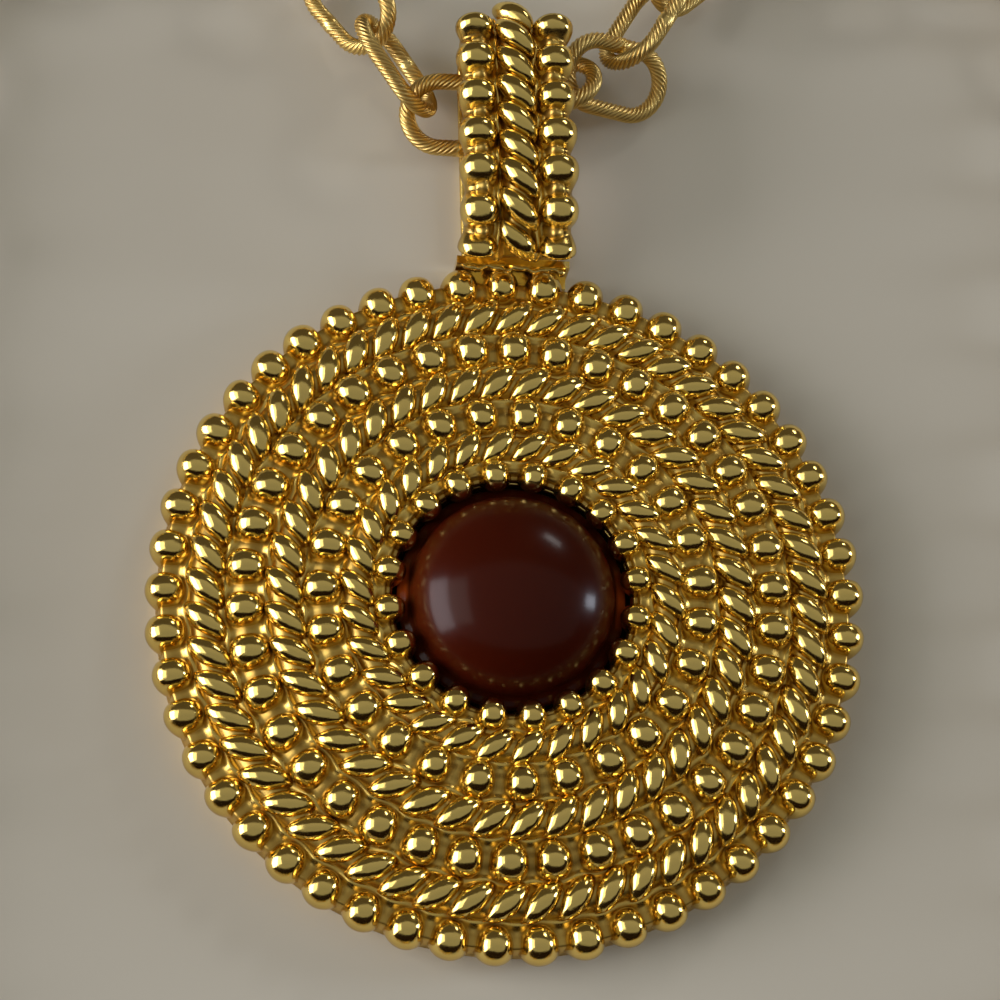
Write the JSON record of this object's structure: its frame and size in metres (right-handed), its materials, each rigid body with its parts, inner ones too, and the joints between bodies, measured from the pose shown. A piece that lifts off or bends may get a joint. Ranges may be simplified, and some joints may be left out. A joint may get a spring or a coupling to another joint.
{
  "type": "pendant necklace",
  "caption": "Domed round medallion of concentric bead and rope courses round a cabochon, on a beaded strap bail and a twisted-wire cable chain with a lobster clasp.",
  "frame": {"origin": "centre of the medallion's flat back face", "axes": "+Z out of the medallion's front, +Y from the medallion's centre towards the bail, +X to the wearer's left, the right of someone facing the front"},
  "size_m": [0.1208, 0.1401, 0.0109],
  "materials": {
    "polished_gold": "high-polish yellow gold plate",
    "chain_gold": "paler gold plate on twisted wire",
    "amber_stone": "polished dark amber resin",
    "spring_steel": "plain steel wire"
  },
  "bodies": {
    "pendant": {"back_plate": "polished_gold", "medallion_dome": "polished_gold", "bezel_cup": "polished_gold", "cabochon": "amber_stone", "bead_ring_outer": "polished_gold", "rope_ring_outer": "polished_gold", "bead_ring_middle": "polished_gold", "rope_ring_middle": "polished_gold", "bead_ring_inner": "polished_gold", "rope_ring_inner": "polished_gold", "bezel_bead_ring": "polished_gold", "bail_foot": "polished_gold", "bail_strap": "polished_gold", "bail_bead_row_left": "polished_gold", "bail_rope": "polished_gold", "bail_bead_row_right": "polished_gold"},
    "chain_bail_link": {"chain_bail_link": "chain_gold"},
    "chain_left_01": {"chain_left_01": "chain_gold"},
    "chain_left_02": {"chain_left_02": "chain_gold"},
    "chain_left_03": {"chain_left_03": "chain_gold"},
    "chain_left_04": {"chain_left_04": "chain_gold"},
    "chain_left_05": {"chain_left_05": "chain_gold"},
    "chain_left_06": {"chain_left_06": "chain_gold"},
    "chain_left_07": {"chain_left_07": "chain_gold"},
    "chain_left_08": {"chain_left_08": "chain_gold"},
    "chain_left_09": {"chain_left_09": "chain_gold"},
    "chain_left_10": {"chain_left_10": "chain_gold"},
    "chain_left_11": {"chain_left_11": "chain_gold"},
    "chain_left_12": {"chain_left_12": "chain_gold"},
    "chain_left_13": {"chain_left_13": "chain_gold"},
    "chain_left_14": {"chain_left_14": "chain_gold"},
    "clasp_ring": {"clasp_ring": "chain_gold"},
    "chain_right_01": {"chain_right_01": "chain_gold"},
    "chain_right_02": {"chain_right_02": "chain_gold"},
    "chain_right_03": {"chain_right_03": "chain_gold"},
    "chain_right_04": {"chain_right_04": "chain_gold"},
    "chain_right_05": {"chain_right_05": "chain_gold"},
    "chain_right_06": {"chain_right_06": "chain_gold"},
    "chain_right_07": {"chain_right_07": "chain_gold"},
    "chain_right_08": {"chain_right_08": "chain_gold"},
    "chain_right_09": {"chain_right_09": "chain_gold"},
    "chain_right_10": {"chain_right_10": "chain_gold"},
    "chain_right_11": {"chain_right_11": "chain_gold"},
    "chain_right_12": {"chain_right_12": "chain_gold"},
    "chain_right_13": {"chain_right_13": "chain_gold"},
    "chain_right_14": {"chain_right_14": "chain_gold"},
    "chain_right_15": {"chain_right_15": "chain_gold"},
    "chain_end_ring": {"chain_end_ring": "chain_gold"},
    "clasp": {"clasp_body": "chain_gold", "clasp_pin": "spring_steel", "clasp_spring": "spring_steel"},
    "clasp_trigger": {"clasp_trigger": "chain_gold"}
  },
  "joints": [
    {"name": "chain_slide", "type": "slide", "parent": "pendant", "child": "chain_bail_link", "axis": [1, 0, 0], "range_m": [-0.0003, 0.0012]},
    {"name": "chain_left_01_hinge", "type": "hinge", "parent": "chain_bail_link", "child": "chain_left_01", "pos_m": [-0.00934, 0.04852, 0.00368], "axis": [-0.6018, -0.7505, -0.2731], "range_deg": [-25, 25]},
    {"name": "chain_left_02_hinge", "type": "hinge", "parent": "chain_left_01", "child": "chain_left_02", "pos_m": [-0.01379, 0.05523, 0.00418], "axis": [-0.5105, -0.2548, 0.8213], "range_deg": [-25, 25]},
    {"name": "chain_left_03_hinge", "type": "hinge", "parent": "chain_left_02", "child": "chain_left_03", "pos_m": [-0.01883, 0.06143, 0.00292], "axis": [0.4526, 0.5663, 0.6888], "range_deg": [-25, 25]},
    {"name": "chain_left_04_hinge", "type": "hinge", "parent": "chain_left_03", "child": "chain_left_04", "pos_m": [-0.02558, 0.06582, 0.00373], "axis": [0.2601, 0.6741, -0.6914], "range_deg": [-25, 25]},
    {"name": "chain_left_05_hinge", "type": "hinge", "parent": "chain_left_04", "child": "chain_left_05", "pos_m": [-0.03332, 0.06801, 0.00296], "axis": [-0.0413, -0.7223, -0.6904], "range_deg": [-25, 25]},
    {"name": "chain_left_06_hinge", "type": "hinge", "parent": "chain_left_05", "child": "chain_left_06", "pos_m": [-0.04132, 0.06758, 0.00386], "axis": [0.2374, -0.6934, 0.6804], "range_deg": [-25, 25]},
    {"name": "chain_left_07_hinge", "type": "hinge", "parent": "chain_left_06", "child": "chain_left_07", "pos_m": [-0.04852, 0.06409, 0.00285], "axis": [-0.4908, 0.5465, 0.6786], "range_deg": [-25, 25]},
    {"name": "chain_left_08_hinge", "type": "hinge", "parent": "chain_left_07", "child": "chain_left_08", "pos_m": [-0.05378, 0.05807, 0.00386], "axis": [-0.6653, 0.3113, -0.6786], "range_deg": [-25, 25]},
    {"name": "chain_left_09_hinge", "type": "hinge", "parent": "chain_left_08", "child": "chain_left_09", "pos_m": [-0.05632, 0.05046, 0.0029], "axis": [0.7289, -0.0478, -0.683], "range_deg": [-25, 25]},
    {"name": "chain_left_10_hinge", "type": "hinge", "parent": "chain_left_09", "child": "chain_left_10", "pos_m": [-0.05643, 0.04238, 0.00335], "axis": [0.7063, 0.0003, 0.708], "range_deg": [-25, 25]},
    {"name": "chain_left_11_hinge", "type": "hinge", "parent": "chain_left_10", "child": "chain_left_11", "pos_m": [-0.05643, 0.03428, 0.00336], "axis": [-0.7071, 0, 0.7071], "range_deg": [-25, 25]},
    {"name": "chain_left_12_hinge", "type": "hinge", "parent": "chain_left_11", "child": "chain_left_12", "pos_m": [-0.05643, 0.02618, 0.00336], "axis": [-0.7071, 0, -0.7071], "range_deg": [-25, 25]},
    {"name": "chain_left_13_hinge", "type": "hinge", "parent": "chain_left_12", "child": "chain_left_13", "pos_m": [-0.05643, -0.01632, 0.00336], "axis": [0.7071, 0, -0.7071], "range_deg": [-25, 25]},
    {"name": "chain_left_14_hinge", "type": "hinge", "parent": "chain_left_13", "child": "chain_left_14", "pos_m": [-0.04583, -0.0548, 0.00386], "axis": [0.3112, 0.6649, 0.679], "range_deg": [-25, 25]},
    {"name": "clasp_ring_hinge", "type": "hinge", "parent": "chain_left_14", "child": "clasp_ring", "pos_m": [-0.01246, -0.05768, 0.00311], "axis": [-0.1139, -0.7025, -0.7025], "range_deg": [-25, 25]},
    {"name": "chain_right_01_hinge", "type": "hinge", "parent": "chain_bail_link", "child": "chain_right_01", "pos_m": [-0.00024, 0.04803, 0.0035], "axis": [-0.4286, 0.849, 0.309], "range_deg": [-5, 2]},
    {"name": "chain_right_02_hinge", "type": "hinge", "parent": "chain_right_01", "child": "chain_right_02", "pos_m": [0.00709, 0.05125, 0.00472], "axis": [-0.2609, 0.8121, -0.522], "range_deg": [-25, 25]},
    {"name": "chain_right_03_hinge", "type": "hinge", "parent": "chain_right_02", "child": "chain_right_03", "pos_m": [0.01039, 0.05413, 0.00461], "axis": [0.913, 0.0319, -0.4067], "range_deg": [-25, 25]},
    {"name": "chain_right_04_hinge", "type": "hinge", "parent": "chain_right_03", "child": "chain_right_04", "pos_m": [0.01435, 0.06119, 0.00477], "axis": [0.5684, -0.2994, 0.7664], "range_deg": [-25, 25]},
    {"name": "chain_right_05_hinge", "type": "hinge", "parent": "chain_right_04", "child": "chain_right_05", "pos_m": [0.01991, 0.06672, 0.00277], "axis": [-0.3443, 0.6585, 0.6692], "range_deg": [-25, 25]},
    {"name": "chain_right_06_hinge", "type": "hinge", "parent": "chain_right_05", "child": "chain_right_06", "pos_m": [0.02741, 0.06949, 0.00387], "axis": [-0.0523, 0.7338, -0.6774], "range_deg": [-25, 25]},
    {"name": "chain_right_07_hinge", "type": "hinge", "parent": "chain_right_06", "child": "chain_right_07", "pos_m": [0.03549, 0.06961, 0.00336], "axis": [-0.0003, -0.7061, -0.7081], "range_deg": [-25, 20]},
    {"name": "chain_right_08_hinge", "type": "hinge", "parent": "chain_right_07", "child": "chain_right_08", "pos_m": [0.04351, 0.0691, 0.00386], "axis": [-0.2344, -0.6873, 0.6875], "range_deg": [-10, 25]},
    {"name": "chain_right_09_hinge", "type": "hinge", "parent": "chain_right_08", "child": "chain_right_09", "pos_m": [0.05071, 0.06561, 0.00285], "axis": [0.4907, 0.5466, 0.6786], "range_deg": [-25, 25]},
    {"name": "chain_right_10_hinge", "type": "hinge", "parent": "chain_right_09", "child": "chain_right_10", "pos_m": [0.05597, 0.05958, 0.00386], "axis": [0.6653, 0.3113, -0.6785], "range_deg": [-25, 25]},
    {"name": "chain_right_11_hinge", "type": "hinge", "parent": "chain_right_10", "child": "chain_right_11", "pos_m": [0.05851, 0.05198, 0.0029], "axis": [-0.7289, -0.0478, -0.683], "range_deg": [-25, 25]},
    {"name": "chain_right_12_hinge", "type": "hinge", "parent": "chain_right_11", "child": "chain_right_12", "pos_m": [0.05862, 0.0439, 0.00335], "axis": [-0.7063, 0.0003, 0.708], "range_deg": [-25, 25]},
    {"name": "chain_right_13_hinge", "type": "hinge", "parent": "chain_right_12", "child": "chain_right_13", "pos_m": [0.05862, 0.0358, 0.00336], "axis": [0.7071, 0, 0.7071], "range_deg": [-25, 25]},
    {"name": "chain_right_14_hinge", "type": "hinge", "parent": "chain_right_13", "child": "chain_right_14", "pos_m": [0.05862, -0.00671, 0.00336], "axis": [0.7071, 0, -0.7071], "range_deg": [-25, 25]},
    {"name": "chain_right_15_hinge", "type": "hinge", "parent": "chain_right_14", "child": "chain_right_15", "pos_m": [0.05811, -0.04912, 0.00285], "axis": [-0.6874, 0.2345, -0.6874], "range_deg": [-25, 25]},
    {"name": "chain_end_ring_hinge", "type": "hinge", "parent": "chain_right_15", "child": "chain_end_ring", "pos_m": [0.02299, -0.06497, 0.00311], "axis": [-0.1139, 0.7025, 0.7025], "range_deg": [-25, 25]},
    {"name": "clasp_hinge", "type": "hinge", "parent": "clasp_ring", "child": "clasp", "pos_m": [-0.00894, -0.05802, 0.00289], "axis": [0.0752, 0.6944, -0.7157], "range_deg": [-25, 25]},
    {"name": "clasp_trigger_press", "type": "hinge", "parent": "clasp", "child": "clasp_trigger", "pos_m": [-0.00392, -0.05944, 0.002], "axis": [-0.0739, -0.7071, 0.7032], "range_deg": [0, 22], "stiffness_Nm_per_rad": 0.002}
  ]
}
